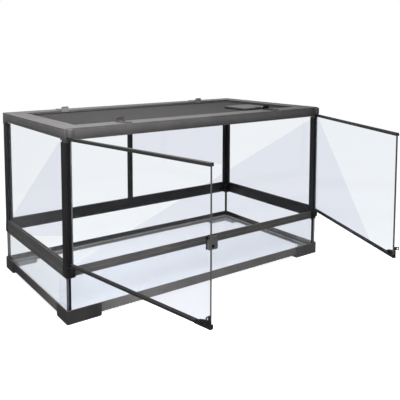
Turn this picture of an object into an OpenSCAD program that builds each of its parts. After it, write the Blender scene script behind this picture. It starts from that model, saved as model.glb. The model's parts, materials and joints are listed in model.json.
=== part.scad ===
// Front-opening glass terrarium: a low glazed tank in a moulded base, a glazed cabin of
// posts and grooved rails above it, two swinging glass doors, a hasp for a padlock and a
// lift-out mesh screen with a feeding hatch. Millimetres, +Z up. The origin is the point
// on the floor under the middle of the frame; the doors face -Y.

/* [Cabinet] */
// Outside length of the frame
cabinet_l = 900; // [700:1:1200]
// Outside depth of the frame
cabinet_d = 450; // [400:1:600]
// Height from the floor to the top face of the rim
cabinet_h = 486; // [420:1:700]
// Height of the middle rails' top face above the floor
mid_top = 144; // [120:1:180]

/* [Mouldings] */
// Wall thickness of rails and posts
wall = 2.5; // [2:0.1:3]
// Height of the base rail
base_rail_h = 25; // [20:1:40]
// Width of the shelf that carries the bottom glass
shelf_w = 18; // [16:1:40]
// Thickness of that shelf
shelf_t = 3; // [2:0.5:5]
// Height of the front middle rail
mid_rail_h = 26; // [22:1:34]
// Width of the front middle rail and of the front top rail's box
front_rail_w = 16; // [15:1:22]
// Height of the front middle rail
front_rail_h = 24; // [22:1:26]
// How far its top falls towards the inside
sill_fall = 6; // [3:0.5:7]
// Thickness of its top at the inside
sill_t = 3; // [2:0.5:4]
// Number of drain notches in each group on it
sill_notch_n = 10; // [2:1:16]
// Distance between two notches
sill_pitch = 5; // [4:0.5:8]
// Width of a notch
sill_notch_w = 2; // [1:0.5:3]
// How far the grooved middle rails rise past the front one
groove_rise = 11; // [6:1:16]
// How far the grooved middle rails drop past the front one
groove_drop = 2; // [0:1:4]
// Thickness of the bars that close the grooves
web_t = 6; // [3:0.5:8]
// Height of the front top rail
top_rail_h = 29; // [24:1:40]
// Height of the side and back top rails
grooved_top_h = 26; // [20:1:36]
// Depth and height of the shadow line round the side and back top rails
line_d = 0.8; // [0.4:0.1:1.2]
// Height of that line's lower edge above the rail's lower edge
line_rise = 12; // [6:1:16]

/* [Rim and ledge] */
// Width of the rim's top face
rim_w = 54; // [50:1:64]
// Thickness of the rim's top plate
rim_t = 3; // [2:0.5:4]
// Depth of the recess that holds the screen
recess_h = 11; // [10:0.5:13]
// Width of the ledge under the screen
ledge_w = 12; // [8:1:18]
// Thickness of the ledge
ledge_t = 2.5; // [2:0.5:4]
// Distance between the ribs under the rim
rib_pitch = 75; // [50:5:120]
// Thickness of a rib
rib_t = 2; // [1.5:0.5:3]

/* [Glass] */
// Thickness of every pane
glass_t = 5; // [4:0.5:5.5]
// Clearance on each side of a pane in its groove
glass_clear = 0.4; // [0.2:0.1:0.6]
// Leg of the silicone fillets in the tank
seal_leg = 6; // [4:1:9]
// Gap between the panes where they meet in the tank's corners
pane_joint = 0.5; // [0.3:0.1:1]

/* [Feet] */
// Length of a foot along the front
foot_l = 96; // [70:1:140]
// Length of a foot along the side
foot_d = 64; // [45:1:110]
// Width of a foot's arms under the base
foot_arm = 22; // [20:1:40]
// Height of the base rail above the floor
foot_drop = 10; // [6:1:20]
// Thickness of the foot's outer skin
foot_skin = 1.2; // [1:0.1:2]
// Slope cut off the inner end of each arm
foot_chamfer = 3; // [1:0.5:6]

/* [Posts and corners] */
// Width and depth of a post's tube
post_w = 16; // [15:0.5:17]
// Depth of a post's tube behind its outer face
post_tube = 14; // [13:0.5:15]
// How far a post's groove reaches past its tube
post_groove = 9; // [5:0.5:10]
// How far a post stands back from the frame's outer faces
post_inset = 0.8; // [0.4:0.1:1.2]
// Size of the moulded corner blocks
corner_size = 24; // [23:0.5:28]
// Radius of the outer corners
corner_r = 3; // [1:0.5:5]
// Height of the collar over a post's head
collar_h = 5; // [3:0.5:10]
// Length of the tenons that enter the posts
tenon_l = 25; // [15:1:40]
// Clearance round a tenon
tenon_clear = 0.2; // [0.1:0.05:0.4]
// Width of the strut between the two back panes
strut_w = 16; // [12:1:24]

/* [Doors] */
// Thickness of a door's rails
door_t = 8; // [8:0.5:12]
// Height of a door's rails
door_rail_h = 7.5; // [7:0.5:14]
// Gap between the frame's front and a closed door
door_gap = 1; // [0.5:0.1:2]
// Gap between the middle rail and a door's lower edge
door_sill_gap = 1.5; // [1:0.5:3]
// How far a door overlaps the top rail
door_high_lap = 7; // [2:0.5:8]
// Distance of the hinge line from the frame's side
hinge_inset = 13; // [12:0.5:18]
// Gap between the two closed doors
meeting_gap = 3.5; // [2:0.5:6]
// Depth of the groove that takes the door's glass
door_groove = 4.5; // [3.5:0.5:5]
// Angle at which the left door stands open
left_open = 78.5; // [0:0.5:120]
// Angle at which the right door stands open
right_open = 66.5; // [0:0.5:120]
// Radius of the hinge pins
pin_r = 2; // [1.5:0.1:2.5]
// Radial clearance of a pin in its bore
pin_clear = 0.05; // [0.02:0.01:0.1]
// How far a hinge pin reaches into its lug
pin_reach = 11; // [8:0.5:12]
// Radius of a hinge lug's nose
lug_r = 7.5; // [6:0.5:9]
// Height of the lower hinge lug
lug_h = 17; // [14:0.5:20]
// Gap between a lug and the end of a door
lug_gap = 0.4; // [0.3:0.1:1]

/* [Door handles] */
// Length of a handle along the door's lower edge
handle_w = 41; // [36:1:60]
// Height of a handle above the door's lower edge
handle_h = 17.5; // [15:0.5:22]
// How far a handle stands proud of the door's rails
handle_proud = 0.5; // [0.5:0.1:2]
// Wall of a handle past the glass's free edge
handle_wall = 2; // [1.5:0.5:3]
// Height of that wall, below which it stops the glass
end_stop_h = 9; // [6:0.5:14]
// Height of the padlock eye's hole above the door's lower edge
eye_rise = 24; // [23:0.5:30]
// Distance of the hole from the handle's face
eye_out = 6; // [6:0.1:9]
// Half of the eye's outer height
eye_r = 4.2; // [4:0.1:5]
// Radius of the eye's hole
eye_hole_r = 2.6; // [1.8:0.1:2.6]
// Thickness of the eye
eye_t = 2; // [1.5:0.5:3]
// Distance of the eye from the door's free edge
eye_inset = 1.5; // [1:0.5:5]
// Number of finger ribs on a handle
grip_ribs = 4; // [2:1:5]

/* [Hasp] */
// Width of the hasp
hasp_w = 34; // [32:1:50]
// Thickness of the hasp's plate
hasp_t = 2.5; // [2:0.5:3]
// Depth of the hasp's rim behind its plate
hasp_rim = 5; // [3:0.5:7]
// Thickness of the rim
hasp_rim_t = 1.8; // [1.2:0.1:2.5]
// Gap between the raised hasp and the door handles
hasp_gap = 0.9; // [0.8:0.1:1.2]
// Radius of the hasp's knuckle
knuckle_r = 3.5; // [3:0.1:4]
// Radius of the hasp's pin
hasp_pin_r = 1.5; // [1.2:0.1:1.8]
// Thickness of the bracket's cheeks and back plate
bracket_t = 3; // [2:0.5:4]
// Clearance round the eyes in the hasp's window
window_clear = 0.9; // [0.6:0.1:1.5]
// Width of the material past the window
window_web = 3.5; // [2.5:0.5:6]

/* [Screen] */
// Width of the screen's frame
screen_w = 12; // [10:1:16]
// Height of the screen's frame
screen_h = 5.7; // [4.5:0.1:7]
// Gap between the screen's frame and its recess
screen_gap = 0.6; // [0.4:0.1:1.5]
// Distance between the wires of the mesh
mesh_pitch = 16; // [12:1:30]
// Thickness of a wire
wire_t = 0.8; // [0.6:0.1:1]
// How far the mesh reaches into its frame
mesh_hold = 5; // [3:0.5:7]

/* [Hatch] */
// Length of the hatch's ring
hatch_l = 112; // [80:1:140]
// Depth of the hatch's ring
hatch_d = 106; // [80:1:110]
// Distance of the hatch's middle from the cabinet's right end
hatch_inset = 176; // [160:1:240]
// Distance of the hatch's middle from the cabinet's front
hatch_front = 148; // [140:1:200]
// Width of the hatch's ring
hatch_ring_w = 12; // [10:1:16]
// Height of the ring above the mesh
hatch_rise = 4; // [3:0.5:5]
// Thickness of the hatch's cover
cover_t = 3; // [2:0.5:4]
// Width of the cover's finger lip
finger_lip = 28; // [16:1:40]
// Radius of the cover's corners
cover_r = 6; // [3:1:9]
// Radius of the hatch's hinge pivots
pivot_r = 1.5; // [1.2:0.1:1.8]

/* [Screen clips] */
// Distance of the clips from the cabinet's ends
clip_inset = 184; // [120:1:220]
// Width of a clip
clip_w = 24; // [18:1:30]
// Length of a clip's slider
clip_l = 46; // [44:1:48]
// Thickness of a clip's slider
clip_t = 2.2; // [1.8:0.1:3]
// Height of a clip's thumb tab
tab_h = 12; // [8:0.5:16]
// Thickness of the thumb tab
tab_t = 3; // [2:0.5:5]
// Distance of a drawn clip from the frame's outer face
clip_start = 8; // [4:0.5:8]
// Travel of a clip
clip_travel = 12; // [8:0.5:12]
// Thickness of a clip's foot
foot_t = 6; // [4:0.5:7]
// Radius of the shoulder screw that a clip slides on
screw_r = 2; // [1.5:0.1:2.5]
// Radius of that screw's head
screw_head_r = 4; // [3.5:0.1:5]

/* [Hidden] */
$fn = 48;
BIG = 2000;
moving_gap = 0.3;
arc_steps = 14;
seal_toe = 0.1;

half_l = cabinet_l / 2;
half_d = cabinet_d / 2;
clip_x = half_l - clip_inset;
hatch_x = half_l - hatch_inset;
hatch_y = hatch_front - half_d;
groove_w = glass_t + 2 * glass_clear;
groove_in = wall + groove_w;
inner_wall = groove_in + wall;
glass_u = wall + glass_clear;
base_top = foot_drop + base_rail_h;
shelf_top = foot_drop + shelf_t;
mid_bottom = mid_top - mid_rail_h;
web_bottom = mid_top - web_t;
top_bottom = cabinet_h - top_rail_h;
grooved_bottom = cabinet_h - grooved_top_h;
rim_under = cabinet_h - rim_t;
ledge_top = cabinet_h - recess_h;
tank_glass_top = web_bottom - glass_clear;
seal_top = mid_bottom - groove_drop - moving_gap;
pane_top = rim_under - rim_t;
post_top = top_bottom - collar_h;
pane_start = post_tube + 1.5;
post_cavity = post_tube - 2 * wall + 1;

hinge_x = half_l - hinge_inset;
hinge_y = half_d + door_gap + door_t / 2;
door_low = mid_top + door_sill_gap;
door_high = top_bottom + door_high_lap;
door_w = hinge_x - meeting_gap / 2;
door_glass_start = 3;
bore_r = pin_r + pin_clear;
handle_face = door_t / 2 + handle_proud;

hasp_y = hinge_y + handle_face + hasp_gap + hasp_t / 2;
hasp_z = door_low - knuckle_r - 1;
eye_z = door_low + eye_rise;
eye_drop = eye_z - hasp_z;
eye_y = handle_face + eye_out;
eye_past_hasp = hinge_y + eye_y - hasp_y;
window_low = eye_drop - eye_r - window_clear;
window_high = sqrt(eye_drop * eye_drop + eye_past_hasp * eye_past_hasp) + eye_r + window_clear;
window_half = meeting_gap / 2 + eye_inset + eye_t + window_clear;
hasp_l = window_high + window_web;
cheek_in = hasp_w / 2 - bracket_t;
neck_half = cheek_in - 0.4;
hasp_bore_r = hasp_pin_r + pin_clear;

screen_bottom = ledge_top + moving_gap;
screen_top = screen_bottom + screen_h;
screen_l = cabinet_l - 2 * rim_w - 2 * screen_gap;
screen_d = cabinet_d - 2 * rim_w - 2 * screen_gap;
mesh_l = screen_l - 2 * screen_w;
mesh_d = screen_d - 2 * screen_w;
mesh_z = screen_top - 3;
mesh_slot = 2 * wire_t + 0.2;

ring_top = mesh_z + mesh_slot + hatch_rise;
ring_bottom = mesh_z - 2;
ring_in_l = hatch_l - 2 * hatch_ring_w;
ring_in_d = hatch_d - 2 * hatch_ring_w;
cover_z = ring_top + moving_gap;
ear_t = 3;
ear_gap = 0.4;
ear_root = 0.5;
ear_x = ring_in_l / 2 - 6;
pivot_y = hatch_d / 2 + pivot_r + 2.5;
pivot_z = cover_z + cover_t / 2;
ear_r = pivot_r + 1.5;

clip_z = cabinet_h + moving_gap;
screw_u = clip_start + clip_l / 2 + 1;
notch_gap = 1.5;

// Sides are 0 front, 1 right, 2 back, 3 left. Inside on_side(), X runs along the side, Y = 0
// is the frame's outer face and +Y points into the cabinet.
function side_half(side) = side % 2 == 0 ? half_l : half_d;
function side_out(side) = side % 2 == 0 ? half_d : half_l;

module on_side(side) {
    rotate([0, 0, 90 * side]) translate([0, -side_out(side), 0]) children();
}

// Corners are drawn at the front left, with X and Y running into the cabinet from its corner.
module at_corner(right, back) {
    mirror([right ? 1 : 0, 0, 0])
        mirror([0, back ? 1 : 0, 0])
            translate([-half_l, -half_d, 0]) children();
}

module at_door(right) {
    mirror([right ? 1 : 0, 0, 0])
        translate([-hinge_x, -hinge_y, 0])
            rotate([0, 0, -(right ? right_open : left_open)]) children();
}

// A section drawn as (distance from the outer face, height), run along a side.
module run_section(length) {
    rotate([90, 0, 90]) linear_extrude(height = length, center = true) children();
}

// The wedge that mitres a rail of the given half length at 45 degrees.
module mitre_wedge(half, depth) {
    linear_extrude(height = BIG, center = true)
        polygon([[-half, 0], [half, 0], [half - depth, depth], [-half + depth, depth]]);
}

module rounded_rect(width, height, r) {
    for (dx = [-1, 1], dy = [-1, 1])
        translate([dx * (width / 2 - r), dy * (height / 2 - r)]) circle(r = r);
    square([width - 2 * r, height], center = true);
    square([width, height - 2 * r], center = true);
}

// A square whose corner at the origin is rounded: the plan of a corner block.
module corner_plan(size, r) {
    translate([r, r]) circle(r = r);
    translate([r, 0]) square([size - r, size]);
    translate([0, r]) square([size, size - r]);
}

// The two grooves, crossing in a corner, that take the edges of the panes.
module groove_cross(from, to) {
    translate([wall, from]) square([groove_w, to - from]);
    translate([from, wall]) square([to - from, groove_w]);
}

// ---------------------------------------------------------------- base and feet

module base_section() {
    bevel = 0.8;
    polygon([[0, foot_drop], [0, base_top - bevel], [bevel, base_top], [wall, base_top],
        [wall, shelf_top], [shelf_w, shelf_top], [shelf_w, foot_drop]]);
}

module base_frame() {
    color("#3c3a39")
        for (side = [0:3]) on_side(side)
            intersection() {
                run_section(2 * side_half(side)) base_section();
                mitre_wedge(side_half(side), shelf_w);
            }
}

// A foot wraps the corner of the base: an L-shaped pad on the floor and a thin skin outside.
module foot(right, back) {
    s = foot_skin;
    color("#3c3a39") at_corner(right, back) {
        difference() {
            linear_extrude(height = foot_drop)
                translate([-s, -s]) {
                    corner_plan(foot_arm, corner_r);
                    translate([foot_arm - 1, 0]) square([foot_l - foot_arm + 1, foot_arm]);
                    translate([0, foot_arm - 1]) square([foot_arm, foot_d - foot_arm + 1]);
                }
            translate([foot_l - s, 0, 0]) rotate([0, 45, 0])
                cube([foot_chamfer * sqrt(2), BIG, foot_chamfer * sqrt(2)], center = true);
            translate([0, foot_d - s, 0]) rotate([45, 0, 0])
                cube([BIG, foot_chamfer * sqrt(2), foot_chamfer * sqrt(2)], center = true);
        }
        translate([0, 0, foot_drop]) linear_extrude(height = base_rail_h)
            difference() {
                translate([-s, -s]) {
                    corner_plan(foot_arm, corner_r);
                    translate([foot_arm - 1, 0]) square([foot_l - foot_arm + 1, foot_arm]);
                    translate([0, foot_arm - 1]) square([foot_arm, foot_d - foot_arm + 1]);
                }
                square([BIG, BIG]);
            }
    }
}

// ---------------------------------------------------------------- tank glass and seals

module bottom_glass() {
    margin = glass_u + glass_t + pane_joint;
    color("#dfe9ee", 0.35) translate([0, 0, shelf_top])
        linear_extrude(height = glass_t)
            square([cabinet_l - 2 * margin, cabinet_d - 2 * margin], center = true);
}

// The front and back walls run the whole length; the side walls stand between them.
module tank_wall(side) {
    margin = side % 2 == 0 ? glass_u : glass_u + glass_t + pane_joint;
    length = 2 * side_half(side) - 2 * margin;
    color("#dfe9ee", 0.35) on_side(side)
        translate([-length / 2, glass_u, shelf_top])
            cube([length, glass_t, tank_glass_top - shelf_top]);
}

// A silicone fillet: a right angle whose long side is hollowed by an arc.
module fillet_plan(leg) {
    difference() {
        square([leg, leg]);
        translate([leg, leg]) circle(r = leg * (1 - seal_toe));
    }
}

module tank_seals() {
    face = glass_u + glass_t;
    floor_z = shelf_top + glass_t;
    color("#1b1b1c") {
        for (right = [false, true], back = [false, true]) at_corner(right, back)
            translate([face + pane_joint, face, floor_z + seal_leg])
                linear_extrude(height = seal_top - floor_z - seal_leg) fillet_plan(seal_leg);
        for (side = [0:3]) on_side(side)
            intersection() {
                run_section(2 * side_half(side))
                    translate([face + (side % 2 == 0 ? 0 : pane_joint), floor_z]) fillet_plan(seal_leg);
                translate([0, face, 0]) mitre_wedge(side_half(side) - face - pane_joint, seal_leg + pane_joint);
            }
    }
}

// ---------------------------------------------------------------- middle rails and corners

function sill_top(u) = mid_top - sill_fall * u / front_rail_w;

// The sill under the doors falls towards the inside, so that water and gravel roll back in.
module mid_front_section() {
    low = mid_top - front_rail_h;
    under = sill_top(front_rail_w) - sill_t;
    polygon([[0, low], [0, mid_top], [front_rail_w, sill_top(front_rail_w)], [front_rail_w, under],
        [inner_wall, under], [inner_wall, mid_bottom + web_t], [groove_in, mid_bottom + web_t],
        [groove_in, web_bottom], [wall, web_bottom], [wall, low]]);
}

// Shallow drain notches across the sill, in a group at each end.
module sill_notches() {
    first = half_l - corner_size - 10;
    for (dx = [-1, 1], i = [0:sill_notch_n - 1])
        translate([dx * (first - i * sill_pitch), 0, 0])
            run_section(sill_notch_w)
                polygon([[3, sill_top(3) - 1], [3, mid_top + 1], [front_rail_w + 1, mid_top + 1],
                    [front_rail_w + 1, sill_top(front_rail_w + 1) - 1]]);
}

// Grooved both ways: the tank's walls stand in the lower groove, the cabin's panes in the upper.
module grooved_section() {
    low = mid_bottom - groove_drop;
    high = mid_top + groove_rise;
    polygon([[0, low], [0, high], [wall, high], [wall, mid_top], [groove_in, mid_top],
        [groove_in, high], [inner_wall, high], [inner_wall, mid_bottom + web_t],
        [groove_in, mid_bottom + web_t], [groove_in, web_bottom], [wall, web_bottom], [wall, low]]);
}

module mid_rail(side) {
    length = 2 * (side_half(side) - corner_size);
    color("#43403e") on_side(side)
        difference() {
            run_section(length)
                if (side == 0) mid_front_section(); else grooved_section();
            if (side == 0) sill_notches();
        }
}

// The lug that holds a hinge pin, round the hinge line in front of the frame.
module lug_plan() {
    translate([hinge_inset, half_d - hinge_y]) circle(r = lug_r);
    translate([hinge_inset - lug_r, half_d - hinge_y]) square([2 * lug_r, hinge_y - half_d]);
}

module tenon(back) {
    width = back ? post_cavity : post_w - 2 * wall;
    translate([post_inset + wall - 0.5 + tenon_clear, post_inset + wall - 0.5 + tenon_clear, 0])
        cube([width - 2 * tenon_clear - post_inset, post_cavity - 2 * tenon_clear - post_inset,
            tenon_l]);
}

module mid_corner(right, back) {
    low = mid_bottom - groove_drop;
    lug_top = door_low - lug_gap;
    color("#2f2d2c") at_corner(right, back) {
        difference() {
            union() {
                translate([0, 0, low]) linear_extrude(height = mid_top - low)
                    corner_plan(corner_size, corner_r);
                if (!back)
                    translate([0, 0, lug_top - lug_h]) linear_extrude(height = lug_h) lug_plan();
            }
            translate([0, 0, low - 1]) linear_extrude(height = web_bottom - low + 1)
                groove_cross(wall, corner_size + 1);
            // Above the rail the lug stays in front of the post.
            translate([-1, 0, mid_top]) cube([BIG, BIG, BIG]);
            if (!back)
                translate([hinge_inset, half_d - hinge_y, lug_top - pin_reach - 0.5])
                    cylinder(r = bore_r, h = pin_reach + 1);
        }
        translate([0, 0, mid_top]) tenon(back);
    }
}

// ---------------------------------------------------------------- posts, cabin glass, strut

// A tube for the tenons, with a groove beside it for each pane that ends in the post.
module post_plan(back) {
    reach = post_tube + post_groove;
    intersection() {
        translate([post_inset, post_inset]) corner_plan(BIG, corner_r);
        difference() {
            union() {
                square([back ? post_tube : post_w, post_tube]);
                square([inner_wall, reach]);
                if (back) square([reach, inner_wall]);
            }
            translate([post_inset + wall - 0.5, post_inset + wall - 0.5])
                square([(back ? post_cavity : post_w - 2 * wall) - post_inset,
                    post_cavity - post_inset]);
            translate([wall, post_tube + 1]) square([groove_w, reach]);
            if (back) translate([post_tube + 1, wall]) square([reach, groove_w]);
        }
    }
}

module post(right, back) {
    color("#2b2a2a") at_corner(right, back)
        translate([0, 0, mid_top]) linear_extrude(height = post_top - mid_top) post_plan(back);
}

module side_glass(side) {
    length = 2 * (half_d - pane_start);
    color("#dfe9ee", 0.35) on_side(side)
        translate([-length / 2, glass_u, mid_top]) cube([length, glass_t, pane_top - mid_top]);
}

// The back is glazed in two panes that meet in the strut. Seen from outside, the right-hand
// pane is the left one of the cabinet.
module back_glass(left) {
    strut_web = 1.4;
    length = half_l - pane_start - strut_web;
    color("#dfe9ee", 0.35) on_side(2)
        translate([left ? strut_web : -strut_web - length, glass_u, mid_top])
            cube([length, glass_t, pane_top - mid_top]);
}

module back_strut() {
    low = mid_top + groove_rise;
    flange = strut_w / 2;
    color("#2b2a2a") on_side(2) {
        for (u = [0, groove_in])
            translate([-flange, u, low]) cube([strut_w, wall, grooved_bottom - low]);
        translate([-1, wall, low]) cube([2, groove_w, grooved_bottom - low]);
        // The web's tongues stand in the grooves of the rails above and below.
        translate([-1, glass_u, mid_top]) cube([2, glass_t, low - mid_top]);
        translate([-1, glass_u, grooved_bottom]) cube([2, glass_t, pane_top - grooved_bottom]);
    }
}

// ---------------------------------------------------------------- top rails, rim and ledge

module rim_section() {
    web_in = rim_w - wall;
    translate([0, rim_under]) square([rim_w, rim_t]);
    translate([web_in, ledge_top - ledge_t]) square([wall, rim_under - ledge_top + ledge_t]);
    translate([web_in, ledge_top - ledge_t]) square([wall + ledge_w, ledge_t]);
}

module grooved_top_section() {
    rim_section();
    difference() {
        translate([0, grooved_bottom]) square([wall, rim_under - grooved_bottom]);
        translate([-1, grooved_bottom + line_rise]) square([1 + line_d, line_d]);
    }
    translate([groove_in, grooved_bottom]) square([wall, rim_under - grooved_bottom]);
}

module front_top_section() {
    rim_section();
    difference() {
        translate([0, top_bottom]) square([front_rail_w, rim_under - top_bottom]);
        translate([wall, top_bottom + wall])
            square([front_rail_w - 2 * wall, rim_under - top_bottom - wall]);
    }
}

// Ribs stiffen the wide rim between the rail's inner wall and the recess.
module rim_ribs(side) {
    from = side == 0 ? front_rail_w : inner_wall;
    depth = rim_w - wall - from;
    drop = rim_under - ledge_top;
    reach = side_half(side) - rim_w;
    count = floor(reach / rib_pitch);
    for (i = [-count:count])
        translate([i * rib_pitch - rib_t / 2, 0, 0])
            rotate([90, 0, 90]) linear_extrude(height = rib_t)
                polygon([[from, rim_under], [from, rim_under - drop / 2],
                    [from + depth, ledge_top - ledge_t], [from + depth, rim_under]]);
}

module clip_notch() {
    width = clip_w + 2 * notch_gap;
    start = clip_start + clip_l - foot_t - notch_gap;
    for (dx = [-1, 1])
        translate([dx * clip_x - width / 2, start, screen_top])
            cube([width, rim_w - start + 1, BIG]);
}

module top_rail(side) {
    half = side_half(side);
    color("#4a4847") on_side(side)
        difference() {
            union() {
                intersection() {
                    run_section(2 * half)
                        if (side == 0) front_top_section(); else grooved_top_section();
                    mitre_wedge(half, rim_w + ledge_w);
                }
                rim_ribs(side);
            }
            for (dx = [-1, 1])
                translate([dx * half, 0, 0]) cube([2 * corner_size, 2 * corner_size, BIG], center = true);
            if (side % 2 == 0) {
                clip_notch();
                for (dx = [-1, 1])
                    translate([dx * clip_x, screw_u, 0]) cylinder(r = screw_r, h = BIG);
            }
        }
}

module top_corner(right, back) {
    lug_low = door_high + lug_gap;
    lug_high = cabinet_h - 2;
    color("#4a4847") at_corner(right, back) {
        difference() {
            union() {
                translate([0, 0, top_bottom]) linear_extrude(height = top_rail_h)
                    corner_plan(corner_size, corner_r);
                translate([0, 0, post_top]) linear_extrude(height = collar_h)
                    intersection() {
                        corner_plan(BIG, corner_r);
                        square([(back ? post_tube : post_w) + post_inset, post_tube + post_inset]);
                    }
                if (!back)
                    translate([0, 0, lug_low]) linear_extrude(height = lug_high - lug_low) lug_plan();
            }
            translate([0, 0, post_top - 1]) linear_extrude(height = pane_top - post_top + 1.5)
                groove_slots(back);
            if (!back)
                translate([hinge_inset, half_d - hinge_y, lug_low - 0.5])
                    cylinder(r = bore_r, h = pin_reach + 1);
        }
        translate([0, 0, post_top - tenon_l]) tenon(back);
    }
}

// Where the cabin's panes pass a top corner block.
module groove_slots(back) {
    translate([wall, post_tube + 1]) square([groove_w, corner_size]);
    if (back) translate([post_tube + 1, wall]) square([corner_size, groove_w]);
}

// ---------------------------------------------------------------- doors

module door_rail_section() {
    edge = 1;
    half = door_t / 2;
    polygon([[-half, edge], [-half + edge, 0], [half - edge, 0], [half, edge],
        [half, door_rail_h], [-half, door_rail_h]]);
}

// A door's lower rail, from its round hinge end to the given length; the glass stands in it.
module door_rail(length) {
    slot = glass_t / 2 + glass_clear / 2;
    difference() {
        union() {
            translate([length / 2, 0, 0]) rotate([90, 0, 90])
                linear_extrude(height = length, center = true) door_rail_section();
            cylinder(r = door_t / 2, h = door_rail_h);
        }
        translate([door_glass_start - glass_clear, -slot, door_rail_h - door_groove])
            cube([BIG, 2 * slot, BIG]);
        translate([0, 0, -1]) cylinder(r = bore_r, h = door_rail_h - 1);
    }
}

module door_bottom_rail(right) {
    color("#26282a") at_door(right) translate([0, 0, door_low]) door_rail(door_w - handle_w);
}

module door_top_rail(right) {
    color("#26282a") at_door(right) translate([0, 0, door_high]) mirror([0, 0, 1]) door_rail(door_w);
}

module door_glass(right) {
    low = door_low + door_rail_h - door_groove + glass_clear;
    high = door_high - door_rail_h + door_groove - glass_clear;
    color("#dfe9ee", 0.35) at_door(right)
        translate([door_glass_start, -glass_t / 2, low])
            cube([door_w - handle_wall - glass_clear - door_glass_start, glass_t, high - low]);
}

module door_pins(right) {
    embed = door_rail_h - 2.5;
    color("silver") at_door(right) {
        translate([0, 0, door_low - lug_gap - pin_reach]) cylinder(r = pin_r, h = pin_reach + lug_gap + embed);
        translate([0, 0, door_high - embed]) cylinder(r = pin_r, h = pin_reach + lug_gap + embed);
    }
}

// The handle's face: a quarter of an ellipse over the door's free lower corner.
function handle_arc() = [for (i = [0:arc_steps])
    let (a = 90 * i / arc_steps) [-handle_w * cos(a), handle_h * sin(a)]];

module door_handle(right) {
    slot = glass_t / 2 + glass_clear / 2;
    back_face = door_t / 2;
    glass_low = door_rail_h - door_groove;
    color("#1f1e1e") at_door(right) translate([door_w, 0, door_low]) {
        difference() {
            union() {
                translate([-handle_w / 2, 0, 0]) rotate([90, 0, 90])
                    linear_extrude(height = handle_w, center = true) door_rail_section();
                // The raised face is a plate on the outside of the glass only.
                translate([0, -slot, 0]) rotate([90, 0, 0])
                    linear_extrude(height = handle_face - slot)
                        polygon(concat([[0, 0]], handle_arc()));
                translate([-handle_wall, -slot, 0]) cube([handle_wall, slot + back_face, end_stop_h]);
                padlock_eye();
            }
            translate([-BIG - handle_wall, -slot, glass_low]) cube([BIG, 2 * slot, BIG]);
            translate([-handle_wall - 1, -slot, end_stop_h]) cube([handle_wall + 2, 2 * slot, BIG]);
            eye_hole();
        }
        grip_ribs();
    }
}

// The eye's hole runs along the door, so that one shackle passes both closed doors.
module padlock_eye() {
    slot = glass_t / 2 + glass_clear / 2;
    out = eye_y + eye_r;
    translate([-eye_inset - eye_t, 0, 0]) rotate([90, 0, 90])
        linear_extrude(height = eye_t) {
            translate([-(out + slot) / 2, eye_rise]) rounded_rect(out - slot, 2 * eye_r, 2);
            translate([-handle_face, handle_h / 2])
                square([handle_face - slot, eye_rise + eye_r - 1 - handle_h / 2]);
        }
}

module eye_hole() {
    translate([-eye_inset - eye_t - 1, -eye_y, eye_rise]) rotate([0, 90, 0])
        cylinder(r = eye_hole_r, h = eye_t + 2);
}

module grip_ribs() {
    rib_r = 0.9;
    pitch = 5;
    first = (hasp_w - meeting_gap) / 2 + 2.5;
    for (i = [0:grip_ribs - 1])
        let (x = first + i * pitch, top = handle_h * sqrt(max(0.1, 1 - pow(x / handle_w, 2))))
            translate([-x, -handle_face, 3])
                intersection() {
                    cylinder(r = rib_r, h = top - 6, $fn = 24);
                    translate([-rib_r, -rib_r, 0]) cube([2 * rib_r, 1.5 * rib_r, BIG]);
                }
}

// ---------------------------------------------------------------- hasp

module hasp_bracket() {
    low = hasp_z - hasp_l;
    high = hasp_z + knuckle_r;
    color("#33312f") {
        translate([-hasp_w / 2, -half_d - bracket_t, low]) cube([hasp_w, bracket_t, high - low]);
        for (x = [-hasp_w / 2, cheek_in])
            difference() {
                translate([x, 0, 0]) rotate([90, 0, 90]) linear_extrude(height = bracket_t) {
                    translate([-hasp_y, hasp_z]) circle(r = knuckle_r);
                    translate([-hasp_y, hasp_z - knuckle_r])
                        square([hasp_y - half_d - bracket_t, 2 * knuckle_r]);
                }
                translate([x - 1, -hasp_y, hasp_z]) rotate([0, 90, 0])
                    cylinder(r = hasp_bore_r, h = bracket_t + 2);
            }
    }
}

module hasp_pin() {
    color("silver") translate([-hasp_w / 2, -hasp_y, hasp_z]) rotate([0, 90, 0])
        cylinder(r = hasp_pin_r, h = hasp_w);
}

// Hanging down at rest: a knuckle on the pin, a neck between the cheeks, and a tray with a
// window that passes over both padlock eyes when the hasp is turned up.
module hasp() {
    tray_h = hasp_l - knuckle_r - 4;
    tray_mid = -hasp_l + tray_h / 2;
    r = 4;
    color("#4b4948") translate([0, -hasp_y, hasp_z])
        difference() {
            union() {
                rotate([0, 90, 0]) cylinder(r = knuckle_r, h = 2 * neck_half, center = true);
                translate([-neck_half, -hasp_t / 2, -hasp_l + tray_h - 1])
                    cube([2 * neck_half, hasp_t, hasp_l - tray_h]);
                translate([0, hasp_t / 2 + hasp_rim, tray_mid]) rotate([90, 0, 0])
                    difference() {
                        linear_extrude(height = hasp_t + hasp_rim) rounded_rect(hasp_w, tray_h, r);
                        translate([0, 0, -1]) linear_extrude(height = hasp_rim + 1)
                            rounded_rect(hasp_w - 2 * hasp_rim_t, tray_h - 2 * hasp_rim_t, r - hasp_rim_t);
                    }
            }
            translate([-window_half, -hasp_t, -window_high])
                cube([2 * window_half, 2 * hasp_t, window_high - window_low]);
            rotate([0, 90, 0]) cylinder(r = hasp_bore_r, h = hasp_w, center = true);
        }
}

// ---------------------------------------------------------------- screen and hatch

module screen_frame() {
    color("#3a3939") difference() {
        translate([0, 0, screen_bottom]) linear_extrude(height = screen_h)
            difference() {
                square([screen_l, screen_d], center = true);
                square([mesh_l, mesh_d], center = true);
            }
        translate([0, 0, mesh_z]) linear_extrude(height = mesh_slot)
            square([mesh_l + 2 * mesh_hold + 0.4, mesh_d + 2 * mesh_hold + 0.4], center = true);
    }
}

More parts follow.
